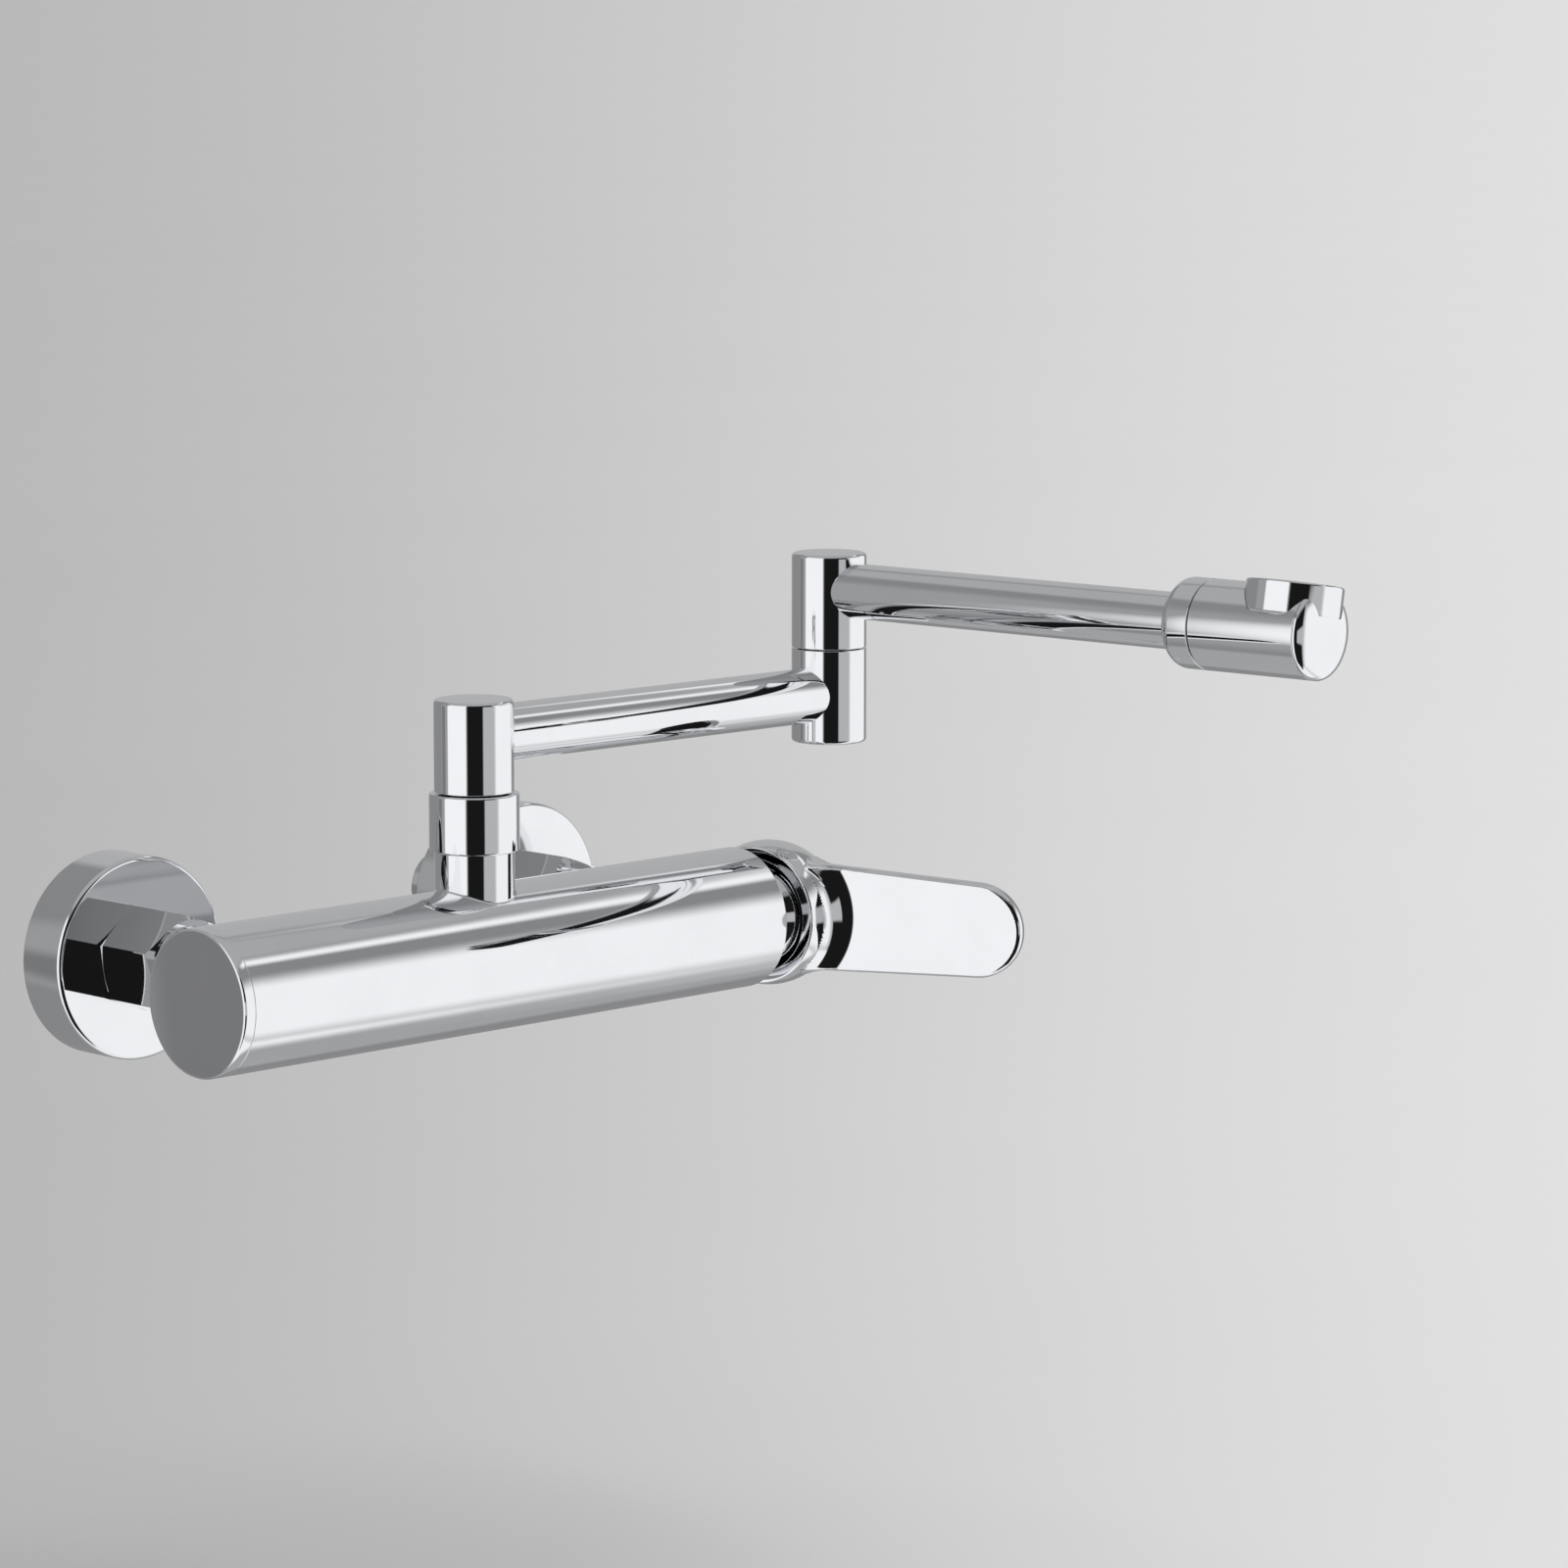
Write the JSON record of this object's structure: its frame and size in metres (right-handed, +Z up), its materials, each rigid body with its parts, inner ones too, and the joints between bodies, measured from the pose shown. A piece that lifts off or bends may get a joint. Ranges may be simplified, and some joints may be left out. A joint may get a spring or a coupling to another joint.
{
  "type": "wall-mounted kitchen mixer tap",
  "caption": "Polished chrome wall-mounted mixer tap with a side lever, a folding two-part swivel spout and a turning outlet head.",
  "frame": {"origin": "on the finished wall, midway between the two inlet axes", "axes": "+X along the wall towards the lever, +Y into the wall along the inlet studs, +Z up"},
  "size_m": [0.2758, 0.2985, 0.1429],
  "materials": {
    "chrome": "polished chrome plate",
    "brass": "machined brass",
    "steel": "stainless steel",
    "rubber": "black rubber",
    "plastic": "off-white acetal",
    "plastic_grey": "grey moulded plastic",
    "ceramic": "lapped alumina ceramic"
  },
  "bodies": {
    "mixer": {"inlet_unions": "chrome", "escutcheon_left": "chrome", "escutcheon_right": "chrome", "union_nuts": "chrome", "inlet_washers": "rubber", "inlet_strainers": "steel", "inlet_nipples": "brass", "mixer_body": "chrome", "end_cap": "chrome", "end_cap_seal": "rubber", "spout_collar_nut": "chrome", "spout_sleeve": "plastic", "cartridge_base": "plastic", "cartridge_seals": "rubber", "fixed_ceramic_disc": "ceramic", "cartridge_shell": "plastic", "cartridge_nut": "brass", "dome_cover": "chrome"},
    "inner_arm": {"spout_post": "chrome", "spout_seals": "rubber", "spout_clip": "steel", "inner_arm_tube": "chrome", "elbow_lower": "chrome", "elbow_plug": "chrome", "elbow_sleeve": "plastic"},
    "outer_arm": {"elbow_upper": "chrome", "elbow_seals": "rubber", "elbow_clip": "steel", "outer_arm_tube": "chrome", "head_back_ring": "chrome", "head_seals": "rubber"},
    "outlet_head": {"head_barrel": "chrome", "head_cap": "chrome", "head_grub_screw": "steel", "aerator_housing": "chrome", "aerator_washer": "rubber", "aerator_insert": "plastic_grey"},
    "cartridge_carrier": {"cartridge_driver": "plastic", "lever_pin": "steel"},
    "ceramic_slide": {"moving_ceramic_disc": "ceramic"},
    "lever": {"lever_stem": "brass", "lever_handle": "chrome", "handle_set_screw": "steel", "handle_plug": "chrome"}
  },
  "joints": [
    {"name": "spout_swivel", "type": "hinge", "parent": "mixer", "child": "inner_arm", "pos_m": [-0.0072, -0.0858, 0.04], "axis": [0, 0, 1], "range_deg": [-209, 31]},
    {"name": "elbow_swivel", "type": "hinge", "parent": "inner_arm", "child": "outer_arm", "pos_m": [0.13507, -0.08853, 0.0793], "axis": [0, 0, 1], "continuous": true},
    {"name": "outlet_spin", "type": "hinge", "parent": "outer_arm", "child": "outlet_head", "pos_m": [0.14883, -0.25948, 0.097], "axis": [0.0802, -0.9968, 0], "continuous": true},
    {"name": "temperature_turn", "type": "hinge", "parent": "mixer", "child": "cartridge_carrier", "pos_m": [0.112, -0.0858, 0], "axis": [1, 0, 0], "range_deg": [-47, 43]},
    {"name": "flow_tilt", "type": "hinge", "parent": "cartridge_carrier", "child": "lever", "pos_m": [0.112, -0.0858, 0], "axis": [0, -0.0349, 0.9994], "range_deg": [-23.5, 1.5]},
    {"name": "disc_slide", "type": "slide", "parent": "cartridge_carrier", "child": "ceramic_slide", "axis": [0, 0.9994, 0.0349], "range_m": [-0.0008, 0.0082]}
  ],
  "couplings": [
    {"joint": "disc_slide", "follows": "flow_tilt", "m_per_rad": -0.019246}
  ]
}
